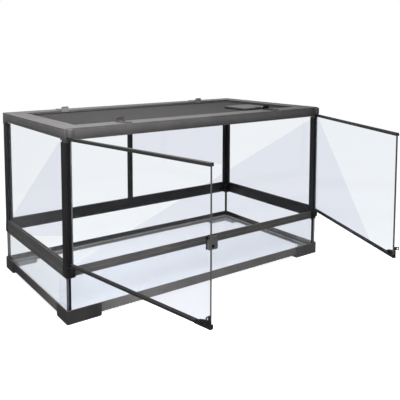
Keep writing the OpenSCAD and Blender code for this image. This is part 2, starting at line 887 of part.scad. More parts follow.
// One layer of parallel wires in a border, with the hatch's place cut out of it.
module wire_layer(length, depth, turned) {
    span = turned ? depth : length;
    count = floor((span - 2 * mesh_hold) / mesh_pitch / 2);
    difference() {
        union() {
            difference() {
                square([length, depth], center = true);
                square([length - 2 * mesh_hold, depth - 2 * mesh_hold], center = true);
            }
            for (i = [-count:count])
                translate(turned ? [0, i * mesh_pitch] : [i * mesh_pitch, 0])
                    square(turned ? [length - 2, wire_t] : [wire_t, depth - 2], center = true);
        }
        translate([hatch_x, hatch_y])
            square([hatch_l - 2 * mesh_hold, hatch_d - 2 * mesh_hold], center = true);
    }
}

module screen_mesh() {
    length = mesh_l + 2 * mesh_hold;
    depth = mesh_d + 2 * mesh_hold;
    color("#6b6868") translate([0, 0, mesh_z + 0.1]) {
        linear_extrude(height = wire_t) wire_layer(length, depth, false);
        translate([0, 0, wire_t]) linear_extrude(height = wire_t) wire_layer(length, depth, true);
    }
}

module hatch_ring() {
    height = ring_top - ring_bottom;
    color("#3a3939") translate([hatch_x, hatch_y, 0]) {
        difference() {
            translate([0, 0, ring_bottom]) linear_extrude(height = height)
                difference() {
                    rounded_rect(hatch_l, hatch_d, cover_r);
                    square([ring_in_l, ring_in_d], center = true);
                }
            translate([0, 0, mesh_z]) linear_extrude(height = mesh_slot)
                difference() {
                    square([BIG, BIG], center = true);
                    square([hatch_l - 2 * mesh_hold - 0.4, hatch_d - 2 * mesh_hold - 0.4], center = true);
                }
        }
        // Ears at the back carry the cover's pivots.
        for (dx = [-1, 1]) difference() {
            translate([dx * ear_x - ear_t / 2, 0, 0]) rotate([90, 0, 90]) linear_extrude(height = ear_t) {
                translate([pivot_y, pivot_z]) circle(r = ear_r);
                translate([hatch_d / 2 - ear_root, mesh_z + mesh_slot + 0.2])
                    square([pivot_y + ear_r - hatch_d / 2 + ear_root, pivot_z - mesh_z - mesh_slot - 0.2]);
            }
            translate([dx * ear_x - ear_t, pivot_y, pivot_z]) rotate([0, 90, 0])
                cylinder(r = pivot_r + pin_clear, h = 2 * ear_t);
            translate([0, 0, ring_bottom]) linear_extrude(height = height)
                rounded_rect(hatch_l, hatch_d, cover_r);
        }
    }
}

module hatch_cover() {
    length = hatch_l - 6;
    depth = hatch_d - 4;
    rim = 1.6;
    rim_gap = 1;
    arm_in = ear_x - ear_t / 2 - ear_gap;
    arm_t = 5;
    color("#4b4948") translate([hatch_x, hatch_y, 0]) {
        translate([0, 0, cover_z]) linear_extrude(height = cover_t) rounded_rect(length, depth, cover_r);
        // The rim drops into the ring and keeps the cover in place.
        translate([0, 0, ring_bottom + 1]) linear_extrude(height = cover_z - ring_bottom - 1)
            difference() {
                square([ring_in_l - 2 * rim_gap, ring_in_d - 2 * rim_gap], center = true);
                square([ring_in_l - 2 * rim_gap - 2 * rim, ring_in_d - 2 * rim_gap - 2 * rim], center = true);
            }
        // A raised lip at the front lifts it, and hinge arms at the back end in pivots.
        translate([-finger_lip / 2, -depth / 2, cover_z + cover_t]) cube([finger_lip, 2, 2]);
        for (dx = [-1, 1]) {
            translate([dx * (arm_in - arm_t / 2) - arm_t / 2, depth / 2 - 1, cover_z])
                cube([arm_t, pivot_y - depth / 2 + 1, cover_t]);
            translate([dx * (arm_in - arm_t / 2), pivot_y, pivot_z]) rotate([0, 90, 0])
                cylinder(r = cover_t / 2, h = arm_t, center = true);
            translate([dx * (arm_in + ear_gap + ear_t / 2 - 0.5), pivot_y, pivot_z]) rotate([0, 90, 0])
                cylinder(r = pivot_r, h = ear_t + 2 * ear_gap + 1, center = true);
        }
    }
}

// ---------------------------------------------------------------- screen clips

// Drawn outwards at rest. Pushed in, its foot slides out of the notch and over the screen.
module clip(side, dx) {
    slot_w = 2 * screw_r + 0.6;
    color("#565453") on_side(side)
        translate([dx * clip_x, 0, 0]) {
            difference() {
                translate([-clip_w / 2, clip_start, clip_z]) cube([clip_w, clip_l, clip_t]);
                translate([-slot_w / 2, screw_u - clip_travel, 0]) cube([slot_w, clip_travel, BIG]);
                for (u = [screw_u - clip_travel, screw_u])
                    translate([0, u, 0]) cylinder(r = slot_w / 2, h = BIG);
            }
            translate([-clip_w / 2, clip_start + clip_l - foot_t, screen_top + 0.5])
                cube([clip_w, foot_t, clip_z - screen_top]);
            clip_tab();
        }
}

module clip_tab() {
    r = 5;
    dish = 1;
    height = tab_h + r;
    translate([0, clip_start + clip_l, clip_z - r + height / 2]) rotate([90, 0, 0])
        difference() {
            linear_extrude(height = tab_t) rounded_rect(clip_w, height, r);
            translate([0, 1.2, dish - tab_t]) linear_extrude(height = tab_t)
                rounded_rect(clip_w - 5, height - 7, r - 2);
            translate([0, -height / 2, tab_t / 2]) cube([2 * clip_w, 2 * r, 2 * tab_t], center = true);
        }
}

module clip_screws() {
    color("silver") for (side = [0, 2], dx = [-1, 1]) on_side(side)
        translate([dx * clip_x, screw_u, rim_under]) {
            cylinder(r = screw_r, h = rim_t + moving_gap + clip_t + moving_gap + 0.5);
            translate([0, 0, rim_t + 2 * moving_gap + clip_t]) cylinder(r = screw_head_r, h = 1.6);
        }
}

base_frame();
foot(false, false);  // front_left_foot
foot(true, false);  // front_right_foot
foot(false, true);  // back_left_foot
foot(true, true);  // back_right_foot
bottom_glass();
tank_wall(0);  // tank_front_glass
tank_wall(2);  // tank_back_glass
tank_wall(3);  // tank_left_glass
tank_wall(1);  // tank_right_glass
tank_seals();
mid_rail(0);  // mid_front_rail
mid_rail(2);  // mid_back_rail
mid_rail(3);  // mid_left_rail
mid_rail(1);  // mid_right_rail
mid_corner(false, false);  // mid_front_left_corner
mid_corner(true, false);  // mid_front_right_corner
mid_corner(false, true);  // mid_back_left_corner
mid_corner(true, true);  // mid_back_right_corner
post(false, false);  // front_left_post
post(true, false);  // front_right_post
post(false, true);  // back_left_post
post(true, true);  // back_right_post
side_glass(3);  // left_side_glass
side_glass(1);  // right_side_glass
back_glass(true);  // back_left_glass
back_glass(false);  // back_right_glass
back_strut();
top_rail(0);  // top_front_rail
top_rail(2);  // top_back_rail
top_rail(3);  // top_left_rail
top_rail(1);  // top_right_rail
top_corner(false, false);  // top_front_left_corner
top_corner(true, false);  // top_front_right_corner
top_corner(false, true);  // top_back_left_corner
top_corner(true, true);  // top_back_right_corner
clip_screws();
hasp_bracket();
hasp_pin();
hasp();
screen_frame();
screen_mesh();
hatch_ring();
hatch_cover();
clip(0, -1);  // front_left_clip
clip(0, 1);  // front_right_clip
clip(2, 1);  // back_left_clip
clip(2, -1);  // back_right_clip
door_glass(false);  // left_door_glass
door_top_rail(false);  // left_door_top_rail
door_bottom_rail(false);  // left_door_bottom_rail
door_handle(false);  // left_door_handle
door_pins(false);  // left_door_pins
door_glass(true);  // right_door_glass
door_top_rail(true);  // right_door_top_rail
door_bottom_rail(true);  // right_door_bottom_rail
door_handle(true);  // right_door_handle
door_pins(true);  // right_door_pins
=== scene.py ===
# %% [markdown]
# # A front-opening glass terrarium
# The cabinet is a knock-down frame of black moulded rails with float glass in its grooves.
# Nearly all of it is straight lines, so its looks hang on three things: how black plastic
# catches the light along its edges, how clear panes tint and mirror a white studio, and the
# fine mesh of the screen in the top. The solids come from the construction model; this
# script dresses them.

# %% Load the frame
import json
import math

import bmesh
import bpy
from mathutils import Matrix, Vector


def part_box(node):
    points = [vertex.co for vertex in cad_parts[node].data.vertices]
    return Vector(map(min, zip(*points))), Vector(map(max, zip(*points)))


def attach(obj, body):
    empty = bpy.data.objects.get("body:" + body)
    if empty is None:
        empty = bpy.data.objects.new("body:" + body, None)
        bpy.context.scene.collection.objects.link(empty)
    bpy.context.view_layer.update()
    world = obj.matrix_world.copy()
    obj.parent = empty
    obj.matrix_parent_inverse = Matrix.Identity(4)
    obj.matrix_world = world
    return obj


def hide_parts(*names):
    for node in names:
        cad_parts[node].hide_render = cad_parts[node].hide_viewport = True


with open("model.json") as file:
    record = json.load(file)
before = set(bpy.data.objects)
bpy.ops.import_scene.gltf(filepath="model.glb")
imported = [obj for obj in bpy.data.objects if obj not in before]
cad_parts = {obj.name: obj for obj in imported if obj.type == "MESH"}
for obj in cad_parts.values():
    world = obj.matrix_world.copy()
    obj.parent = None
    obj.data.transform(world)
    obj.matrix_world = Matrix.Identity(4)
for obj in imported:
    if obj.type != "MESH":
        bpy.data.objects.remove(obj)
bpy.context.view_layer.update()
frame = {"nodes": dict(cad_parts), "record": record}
MM = 0.001

# %% [markdown]
# ## The camera
# The view is from the front left, a little above the rim, through a normal lens. A shifted
# lens keeps the uprights upright while the cabinet sits low in the picture: turning the
# camera down instead would make the posts lean together. The lens is given as a focal length
# in picture widths, so that nothing depends on the size of the picture.

# %% Camera
CAMERA_AT = (-0.9952, -1.4364, 0.6651)
TURN, TILT, ROLL = math.radians(-33.08), math.radians(4.73), math.radians(-0.34)
PICTURE = 400.0
FOCAL = 555.7
CENTRE_X, CENTRE_Y = 149.6, 98.9
SENSOR = 36.0

back = Vector((math.sin(TURN) * math.cos(TILT), -math.cos(TURN) * math.cos(TILT), math.sin(TILT)))
level = Vector((math.cos(TURN), math.sin(TURN), 0.0))
upright = back.cross(level)
right = math.cos(ROLL) * level + math.sin(ROLL) * upright
up = math.cos(ROLL) * upright - math.sin(ROLL) * level

camera_data = bpy.data.cameras.new("camera")
camera_data.sensor_width = SENSOR
camera_data.lens = FOCAL / PICTURE * SENSOR
camera_data.shift_x = (PICTURE / 2 - CENTRE_X) / PICTURE
camera_data.shift_y = (CENTRE_Y - PICTURE / 2) / PICTURE
camera = bpy.data.objects.new("camera", camera_data)
bpy.context.scene.collection.objects.link(camera)
turn = Matrix((right, up, back)).transposed().to_4x4()
camera.matrix_world = Matrix.Translation(CAMERA_AT) @ turn
bpy.context.scene.camera = camera
bpy.context.scene.view_settings.view_transform = "Standard"
print("lens, mm:", round(camera_data.lens, 2))

# %% [markdown]
# ## Small helpers for node trees
# Every material here is procedural, and node graphs in code soon grow wordy. A few short
# helpers keep them readable. `add` makes a node and sets its inputs by name, `join` links
# two sockets, and `feed` takes either a socket or a plain value, so that the helpers for the
# commonest nodes can be given whichever is at hand.

# %% Node helpers
FLOAT, VECTOR, COLOR = "NodeSocketFloat", "NodeSocketVector", "NodeSocketColor"


def add(tree, kind, at, settings=None, **inputs):
    """Adds a node, sets its properties and the inputs given by name, and returns it."""
    node = tree.nodes.new(kind)
    node.location = at
    for key, value in (settings or {}).items():
        setattr(node, key, value)
    for key, value in inputs.items():
        node.inputs[key.replace("_", " ")].default_value = value
    return node


def join(tree, source, target):
    tree.links.new(source, target)


def feed(tree, given, target):
    """Links a socket to the target, or sets the target to a plain value."""
    if isinstance(given, bpy.types.NodeSocket):
        join(tree, given, target)
    else:
        target.default_value = given


def feed_all(tree, node, inputs):
    """Feeds a node's inputs by name, with an underscore for each space."""
    for key, given in inputs.items():
        feed(tree, given, node.inputs[key.replace("_", " ")])


def new_group(name, inputs, outputs):
    """A shader node group with named sockets. Each input is (name, type, value)."""
    group = bpy.data.node_groups.new(name, "ShaderNodeTree")
    for label, kind, value in inputs:
        socket = group.interface.new_socket(label, in_out="INPUT", socket_type=kind)
        socket.default_value = value
    for label, kind in outputs:
        group.interface.new_socket(label, in_out="OUTPUT", socket_type=kind)
    return group, group.nodes.new("NodeGroupInput"), group.nodes.new("NodeGroupOutput")


# %% [markdown]
# The nodes that nearly every finish needs get a helper each: a sum, a range, a blend of two
# colours, a blend of two shaders and a noise. The mix node has several sockets of one name,
# so the places of those used here are named once.

# %% Helpers for the commonest nodes
COLOUR_A, COLOUR_B, COLOUR_OUT = 6, 7, 2
VALUE_A, VALUE_B = 2, 3
NODE_GAP = 250


def worked(tree, operation, first, second, at, clamp=False):
    """The result of a sum on two values."""
    node = add(tree, "ShaderNodeMath", at, {"operation": operation, "use_clamp": clamp})
    feed(tree, first, node.inputs[0])
    feed(tree, second, node.inputs[1])
    return node.outputs[0]


def ranged(tree, value, at, **limits):
    """A value carried from one range to another; the limits are sockets or plain values."""
    node = add(tree, "ShaderNodeMapRange", at)
    join(tree, value, node.inputs["Value"])
    feed_all(tree, node, limits)
    return node.outputs[0]


def blend(tree, factor, first, second, at, mode="MIX"):
    """The blend of two colours."""
    node = add(tree, "ShaderNodeMix", at, {"data_type": "RGBA", "blend_type": mode})
    feed(tree, factor, node.inputs["Factor"])
    feed(tree, first, node.inputs[COLOUR_A])
    feed(tree, second, node.inputs[COLOUR_B])
    return node.outputs[COLOUR_OUT]


def mixed(tree, factor, first, second, at):
    """The blend of two shader nodes."""
    node = add(tree, "ShaderNodeMixShader", at)
    feed(tree, factor, node.inputs[0])
    join(tree, first.outputs[0], node.inputs[1])
    join(tree, second.outputs[0], node.inputs[2])
    return node.outputs[0]


def noise(tree, at, **inputs):
    """A noise in the object's own coordinates, so that it stays put when the piece moves."""
    place = add(tree, "ShaderNodeTexCoord", (at[0] - NODE_GAP, at[1]))
    node = add(tree, "ShaderNodeTexNoise", at)
    join(tree, place.outputs["Object"], node.inputs["Vector"])
    feed_all(tree, node, inputs)
    return node.outputs[0]


# %% [markdown]
# ## The studio
# The cabinet stands on a white floor in a white room. The floor is an ordinary pale diffuse
# surface, so it keeps the soft shadow; where only the camera looks at it, a little glow lifts
# it to paper white. The world does the same trick: white to the eye, to mirrors and to glass,
# and a calm grey to everything it lights.

# %% World
WHITE = (1, 1, 1, 1)
AMBIENT = 0.32
AMBIENT_TONE = (0.95, 0.97, 1, 1)


def emptied(holder):
    """The node tree of a material or a world, with nothing in it."""
    holder.use_nodes = True
    holder.node_tree.nodes.clear()
    return holder.node_tree


def white_to_the_eye(tree):
    """1 for rays that show the background: the camera's, mirrored ones and through glass."""
    path = add(tree, "ShaderNodeLightPath", (-900, 0))
    direct = worked(tree, "MAXIMUM", path.outputs["Is Camera Ray"],
                    path.outputs["Is Glossy Ray"], (-700, 60))
    return worked(tree, "MAXIMUM", direct, path.outputs["Is Transmission Ray"], (-520, 0))


world = bpy.data.worlds.new("white_room")
bpy.context.scene.world = world
tree = emptied(world)
shown = add(tree, "ShaderNodeBackground", (-200, 100), Color=WHITE, Strength=1.0)
lit = add(tree, "ShaderNodeBackground", (-200, -100), Color=AMBIENT_TONE, Strength=AMBIENT)
out = add(tree, "ShaderNodeOutputWorld", (260, 0))
join(tree, mixed(tree, white_to_the_eye(tree), lit, shown, (60, 0)), out.inputs[0])
print("room light:", AMBIENT)

# %% Floor
FLOOR_HALF = 14.0
FLOOR_PALE = 0.8
FLOOR_GLOW = 0.76


def flat_object(name, corners, material):
    """One flat face through the corners, as a piece of the studio."""
    mesh = bpy.data.meshes.new(name)
    mesh.from_pydata(corners, [], [tuple(range(len(corners)))])
    mesh.materials.append(material)
    obj = bpy.data.objects.new(name, mesh)
    bpy.context.scene.collection.objects.link(obj)
    return obj


floor_material = bpy.data.materials.new("studio_floor")
tree = emptied(floor_material)
paper = add(tree, "ShaderNodeBsdfDiffuse", (-200, 100), Color=(FLOOR_PALE,) * 3 + (1,))
glow = add(tree, "ShaderNodeEmission", (-200, -100), Color=WHITE)
lift = worked(tree, "MULTIPLY", white_to_the_eye(tree), FLOOR_GLOW, (-400, -120))
join(tree, lift, glow.inputs["Strength"])
lifted_paper = add(tree, "ShaderNodeAddShader", (60, 0))
out = add(tree, "ShaderNodeOutputMaterial", (260, 0))
join(tree, paper.outputs[0], lifted_paper.inputs[0])
join(tree, glow.outputs[0], lifted_paper.inputs[1])
join(tree, lifted_paper.outputs[0], out.inputs[0])

flat_object("floor", [(-FLOOR_HALF, -FLOOR_HALF, 0), (FLOOR_HALF, -FLOOR_HALF, 0),
                      (FLOOR_HALF, FLOOR_HALF, 0), (-FLOOR_HALF, FLOOR_HALF, 0)], floor_material)
print("floor, m:", 2 * FLOOR_HALF)

# %% [markdown]
# ## Cards for the glass
# Clear glass is lit by what stands round it, so a glass studio is full of cards, kept just
# out of the picture. Each card here is made for one kind of ray. Dark flags lie on the floor
# and two black walls stand behind the camera and on the right, where panes and rails would
# mirror the white room and lose their depth behind a veil: only mirrored rays meet them.
# One upright card, the cutter, only casts a shadow: it keeps the key lamp off the right end
# of the top.

# %% Card helpers
RAYS = ("camera", "diffuse", "glossy", "transmission", "volume_scatter", "shadow")
WALL_FOOT = 0.01


def card(name, corners, material, seen_by):
    """A flat card that only the named kinds of ray can meet."""
    obj = flat_object(name, corners, material)
    for kind in RAYS:
        setattr(obj, "visible_" + kind, kind in seen_by)
    return obj


def lying(outline, height):
    return [(x, y, height) for x, y in outline]


def standing(start, end, top, foot=WALL_FOOT):
    return [(*start, foot), (*end, foot), (*end, top), (*start, top)]


def card_material(name, colour, glow):
    """A filter of the given colour, of which the share given as glow shines by itself."""
    material = bpy.data.materials.new(name)
    tree = emptied(material)
    clear = add(tree, "ShaderNodeBsdfTransparent", (0, 100), Color=(*colour, 1))
    shine = add(tree, "ShaderNodeEmission", (0, -100), Color=(*colour, 1))
    out = add(tree, "ShaderNodeOutputMaterial", (400, 0))
    join(tree, mixed(tree, glow, clear, shine, (200, 0)), out.inputs[0])
    return material


# %% Flags, walls and the cutter
FLAG_HEIGHT = 0.002
FLAGS = {
    "flag_left": [(-4, -0.24), (-0.46, -0.24), (-0.46, 5), (-4, 5)],
    "flag_front": [(-1.4, -4.5), (5, -4.5), (5, -0.24), (-1.4, -0.24)],
    "flag_behind": [(-0.46, 0.24), (1.2, 0.24), (1.2, 5), (-0.46, 5)],
    "flag_under": [(-0.46, -0.24), (1.2, -0.24), (1.2, 0.24), (-0.46, 0.24)],
}
WALL_HEIGHT = 3.0
WALLS = {"wall_front": ((-0.6, -4.6), (4.6, -4.6)), "wall_right": ((4.6, -4.6), (4.6, 3.6))}
CUTTER_START, CUTTER_END, CUTTER_TOP, CUTTER_FOOT = (-0.3, -0.6), (0.6, -0.6), 1.3, 0.66

flag_cloth = card_material("flag_cloth", (0.16, 0.16, 0.17), 1.0)
wall_cloth = card_material("wall_cloth", (0.03, 0.03, 0.03), 1.0)
for name, outline in FLAGS.items():
    card(name, lying(outline, FLAG_HEIGHT), flag_cloth, ["glossy"])
for name, (start, end) in WALLS.items():
    card(name, standing(start, end, WALL_HEIGHT), wall_cloth, ["glossy"])
cutter = standing(CUTTER_START, CUTTER_END, CUTTER_TOP, CUTTER_FOOT)
card("cutter", cutter, wall_cloth, ["shadow"])
print("flags, walls and cutter:", len(FLAGS) + len(WALLS) + 1)

# %% [markdown]
# Gels do the opposite of flags: only rays that have passed through a pane meet them, and they
# give the glass its cold tone. One pale gel lies under everything and mostly shines by
# itself, so that the cabinet's own shadow on the floor doesn't dull what shows through the
# panes. Deeper gels with straight edges lie on it. Those edges draw the long slanting gleams
# across the glass.

# %% Gels
PALE_GEL_HEIGHT, DEEP_GEL_HEIGHT = 0.001, 0.0015
PALE_GEL = [(-3, -2), (8, -2), (8, 8), (-3, 8)]
GLEAMS = {
    "gel_left": [(0.848, 2.68), (0.881, 2.656), (-0.165, 0.39), (-0.354, 0.518), (-0.267, 0.712)],
    "gel_front": [(3.692, 2.494), (-0.334, 0.081), (-0.479, -0.244), (0.034, -0.586)],
    "gel_back": [(1.653, 2.949), (3.072, 3.32), (1.139, 1.057), (1.139, 1.131), (0.961, 1.806)],
    "gel_door": [(3.91, 2.705), (0.681, -0.273), (0.523, -0.166)],
}
pale_gel = card_material("pale_gel", (0.915, 0.935, 0.955), 0.85)
deep_gel = card_material("deep_gel", (0.877, 0.876, 0.918), 0.0)
card("gel_all", lying(PALE_GEL, PALE_GEL_HEIGHT), pale_gel, ["transmission"])
for name, outline in GLEAMS.items():
    card(name, lying(outline, DEEP_GEL_HEIGHT), deep_gel, ["transmission"])
print("gels:", 1 + len(GLEAMS))

# %% [markdown]
# ## Lamps
# Three lamps. The key stands close on the front left and above, and its light falls off
# along the front as it does with any near lamp. A weaker one hangs over the left end and
# brightens the rim from above. The third is large, weak and far off on the right, and opens
# the shadows there. All are soft, because a small hard lamp would make sparks along edges.

# %% Lamps
LAMPS = {
    "key": {"at": (-0.85, -1.2, 1.1), "look_at": (-0.1, 0, 0.35), "size": (0.6, 0.5), "power": 20},
    "top": {"at": (-0.5, -0.1, 1.2), "look_at": (-0.4, 0, 0.48), "size": (0.5, 0.5), "power": 5},
    "side": {"at": (2.8, -1.8, 1.6), "look_at": (0, 0, 0.25), "size": (1.6, 1.6), "power": 3},
}


def softbox(name, at, look_at, size, power):
    data = bpy.data.lights.new(name, "AREA")
    data.shape = "RECTANGLE"
    data.size, data.size_y = size
    data.energy = power
    lamp = bpy.data.objects.new(name, data)
    bpy.context.scene.collection.objects.link(lamp)
    aim = Vector(look_at) - Vector(at)
    lamp.matrix_world = Matrix.Translation(at) @ aim.to_track_quat("-Z", "Y").to_matrix().to_4x4()
    return lamp


for name, row in LAMPS.items():
    softbox(name, **row)
print("lamps, W:", {name: row["power"] for name, row in LAMPS.items()})

# %% [markdown]
# ## Effects that several finishes share
# An effect that several finishes need is a node group, so that one idea has one place and
# each material gives it its own numbers. The first is *moulding grain*, the fine
# spark-eroded texture of a tool: a dense noise for the bump, with slow clouds of tone and
# small flecks over it where the plastic has cooled unevenly.

# %% Moulding grain
CLOUD_SCALE, CLOUD_FROM, CLOUD_TO = 9.0, 0.38, 0.66
FLECK_SCALE, FLECK_FROM, FLECK_TO = 240.0, 0.5, 0.75
grain_group, given, result = new_group(
    "moulding_grain",
    [("Tone", COLOR, (0.05, 0.05, 0.05, 1)), ("Cloud Tone", COLOR, (0.07, 0.07, 0.07, 1)),
     ("Grain Scale", FLOAT, 1500.0), ("Smoothness", FLOAT, 0.4), ("Roughest", FLOAT, 0.6)],
    [("Color", COLOR), ("Roughness", FLOAT), ("Height", FLOAT)])
fine = noise(grain_group, (-650, 160), Scale=given.outputs["Grain Scale"], Detail=3.0,
             Roughness=0.6)
cloud = noise(grain_group, (-650, -120), Scale=CLOUD_SCALE, Detail=4.0, Roughness=0.65)
fleck = noise(grain_group, (-650, -360), Scale=FLECK_SCALE, Detail=2.0)
clouds = ranged(grain_group, cloud, (-420, -120), From_Min=CLOUD_FROM, From_Max=CLOUD_TO)
flecks = ranged(grain_group, fleck, (-420, -360), From_Min=FLECK_FROM, From_Max=FLECK_TO)
marked = worked(grain_group, "MAXIMUM", clouds, flecks, (-220, -240))
tone = blend(grain_group, marked, given.outputs["Tone"], given.outputs["Cloud Tone"], (0, -40))
rough = add(grain_group, "ShaderNodeMix", (0, -260), {"data_type": "FLOAT"})
join(grain_group, fleck, rough.inputs["Factor"])
join(grain_group, given.outputs["Smoothness"], rough.inputs[VALUE_A])
join(grain_group, given.outputs["Roughest"], rough.inputs[VALUE_B])
join(grain_group, tone, result.inputs["Color"])
join(grain_group, rough.outputs[0], result.inputs["Roughness"])
join(grain_group, fine, result.inputs["Height"])
print("group:", grain_group.name)

# %% [markdown]
# *Rubbed edges and highlights* are pale edges. Partly they are plastic that hands and cloths
# have polished grey, and partly a painted highlight along each edge, standing in for the gleam
# an edge catches; it is strongest on the rims. The group compares the true normal with one
# rounded over a small radius, and where the two part there is an edge. A coarse noise breaks
# the line up, because real wear is never even.

# %% Rubbed edges and painted highlights
FLAT_DOT, EDGE_DOT = 0.99, 0.8
WEAR_SCALE = 70.0
edge_wear_and_highlight_group, given, result = new_group(
    "rubbed_edges_and_highlight", [("Radius", FLOAT, 0.0008), ("Amount", FLOAT, 0.6)], [("Mask", FLOAT)])
softened = add(edge_wear_and_highlight_group, "ShaderNodeBevel", (-700, 100), {"samples": 4})
join(edge_wear_and_highlight_group, given.outputs["Radius"], softened.inputs["Radius"])
true = add(edge_wear_and_highlight_group, "ShaderNodeNewGeometry", (-700, -100))
dot = add(edge_wear_and_highlight_group, "ShaderNodeVectorMath", (-480, 0), {"operation": "DOT_PRODUCT"})
join(edge_wear_and_highlight_group, softened.outputs[0], dot.inputs[0])
join(edge_wear_and_highlight_group, true.outputs["Normal"], dot.inputs[1])
edge = ranged(edge_wear_and_highlight_group, dot.outputs["Value"], (-280, 0), From_Min=FLAT_DOT, From_Max=EDGE_DOT)
worn = noise(edge_wear_and_highlight_group, (-480, -320), Scale=WEAR_SCALE, Detail=3.0)
patchy = worked(edge_wear_and_highlight_group, "MULTIPLY", edge, worn, (-80, -120))
wear_and_highlight_mask = worked(edge_wear_and_highlight_group, "MULTIPLY", patchy, given.outputs["Amount"], (100, -60))
join(edge_wear_and_highlight_group, wear_and_highlight_mask, result.inputs["Mask"])
print("group:", edge_wear_and_highlight_group.name)

# %% [markdown]
# *Settled dust and sheen* lies on what faces up. On the plastic it is real dust; on the
# silicone fillets it is a painted sheen, the pale reflection that their upturned curve catches.
# The height of the normal says how level the surface is, and a fine noise turns the even film
# into specks.

# %% Settled dust and painted sheen
dust_and_sheen_group, given, result = new_group(
    "settled_dust_and_sheen", [("Amount", FLOAT, 0.2), ("Fleck Scale", FLOAT, 160.0),
                     ("Steepest", FLOAT, 0.6)], [("Mask", FLOAT)])
facing = add(dust_and_sheen_group, "ShaderNodeNewGeometry", (-700, 100))
parts = add(dust_and_sheen_group, "ShaderNodeSeparateXYZ", (-520, 100))
join(dust_and_sheen_group, facing.outputs["Normal"], parts.inputs[0])
levelness = ranged(dust_and_sheen_group, parts.outputs["Z"], (-340, 100),
                   From_Min=given.outputs["Steepest"])
specks = noise(dust_and_sheen_group, (-520, -160), Scale=given.outputs["Fleck Scale"], Detail=5.0,
               Roughness=0.7)
settled = worked(dust_and_sheen_group, "MULTIPLY", levelness, specks, (-140, 0))
dust_and_sheen_mask = worked(dust_and_sheen_group, "MULTIPLY", settled, given.outputs["Amount"], (40, 0))
join(dust_and_sheen_group, dust_and_sheen_mask, result.inputs["Mask"])
print("group:", dust_and_sheen_group.name)

# %% [markdown]
# *Painted shade* paints the fall of light into black plastic: a rim goes darker towards its
# lower edge and the base towards the back, as if less light reached there. The group darkens a
# colour along one direction of the piece, from full at one distance down to a chosen share at
# another.

# %% Painted shade along a piece
painted_shade_group, given, result = new_group(
    "painted_shade", [("Color", COLOR, (0.1, 0.1, 0.1, 1)), ("Direction", VECTOR, (0, 0, 1)),
                ("Dark At", FLOAT, 0.0), ("Full At", FLOAT, 0.1), ("Darkest", FLOAT, 0.3)],
    [("Color", COLOR)])
place = add(painted_shade_group, "ShaderNodeTexCoord", (-900, 0))
distance = add(painted_shade_group, "ShaderNodeVectorMath", (-700, 0), {"operation": "DOT_PRODUCT"})
join(painted_shade_group, place.outputs["Object"], distance.inputs[0])
join(painted_shade_group, given.outputs["Direction"], distance.inputs[1])
share = ranged(painted_shade_group, distance.outputs["Value"], (-480, 0),
               From_Min=given.outputs["Dark At"], From_Max=given.outputs["Full At"],
               To_Min=given.outputs["Darkest"])
painted_darker = blend(painted_shade_group, 1.0, given.outputs["Color"], share, (-240, 0), "MULTIPLY")
join(painted_shade_group, painted_darker, result.inputs["Color"])
print("group:", painted_shade_group.name)

# %% [markdown]
# ## Black moulded plastic
# The rails, posts, feet and door rails are the same family of black plastic in different
# finishes, whose lighter and darker tones paint in light and shade. One function builds them
# all from their numbers: the grain, then the painted shade where asked, then the rubbed edges
# and painted highlights, then the dust, each blended over the last. A clean mirror-smooth black
# would look like lacquer; the grain's bump and the uneven roughness keep the highlights broad.

# %% Plastic
RUBBED_AND_HIGHLIGHT_TONE = (0.4, 0.39, 0.385, 1)
DUST_TONE = (0.36, 0.35, 0.33, 1)
GRAIN_DEPTH = 0.0004
PLASTIC_BUMP = 0.05


def principled(name):
    """A new material with its node tree and its Principled shader."""
    material = bpy.data.materials.new(name)
    material.use_nodes = True
    return material, material.node_tree, material.node_tree.nodes["Principled BSDF"]


def placed(tree, group, at, **inputs):
    """A copy of a shared effect in a material's tree."""
    node = add(tree, "ShaderNodeGroup", at, {"node_tree": group})
    feed_all(tree, node, inputs)
    return node


def moulded_plastic(name, tone, cloud_tone, rough, edge=0.5, dust_and_sheen=0.15, specular=0.5,
                    painted_shade=None):
    """Black plastic. Rough is (smoothest, roughest); painted_shade holds the painted darkening's
    inputs.
    """
    material, tree, shader = principled(name)
    shader.inputs["Specular IOR Level"].default_value = specular
    smoothest, roughest = rough
    grained = placed(tree, grain_group, (-1000, 100), Tone=(*tone, 1), Cloud_Tone=(*cloud_tone, 1),
                     Smoothness=smoothest, Roughest=roughest)
    rubbed_and_highlit = placed(tree, edge_wear_and_highlight_group, (-900, -160), Amount=edge)
    dust_and_sheen_node = placed(tree, dust_and_sheen_group, (-900, -320), Amount=dust_and_sheen)
    colour = grained.outputs["Color"]
    if painted_shade:
        painted_shaded = placed(tree, painted_shade_group, (-800, 300), Color=colour, **painted_shade)
        colour = painted_shaded.outputs["Color"]
    with_edges = blend(tree, rubbed_and_highlit.outputs["Mask"], colour, RUBBED_AND_HIGHLIGHT_TONE, (-620, 120))
    with_dust = blend(tree, dust_and_sheen_node.outputs["Mask"], with_edges, DUST_TONE, (-400, 120))
    join(tree, with_dust, shader.inputs["Base Color"])
    duller = worked(tree, "ADD", grained.outputs["Roughness"], dust_and_sheen_node.outputs["Mask"],
                    (-400, -120), clamp=True)
    join(tree, duller, shader.inputs["Roughness"])
    relief = add(tree, "ShaderNodeBump", (-300, -320), Strength=PLASTIC_BUMP, Distance=GRAIN_DEPTH)
    join(tree, grained.outputs["Height"], relief.inputs["Height"])
    join(tree, relief.outputs[0], shader.inputs["Normal"])
    return material


print("grain depth, mm:", round(GRAIN_DEPTH / MM, 2))

# %% [markdown]
# The finishes are lighter and darker copies of one black plastic, and the difference paints in
# light and shade. The rims and the base are painted palest, as if lit from above and from the
# floor, with pale painted highlights along the rims' edges, and the front and left middle rails
# a little darker. The posts, the screen, the doors and the far middle rails are painted nearly
# black as shade, and the handles are the smoothest, as fingers leave them. Of the clips, the
# back ones are a soft grey plastic and the front ones black.

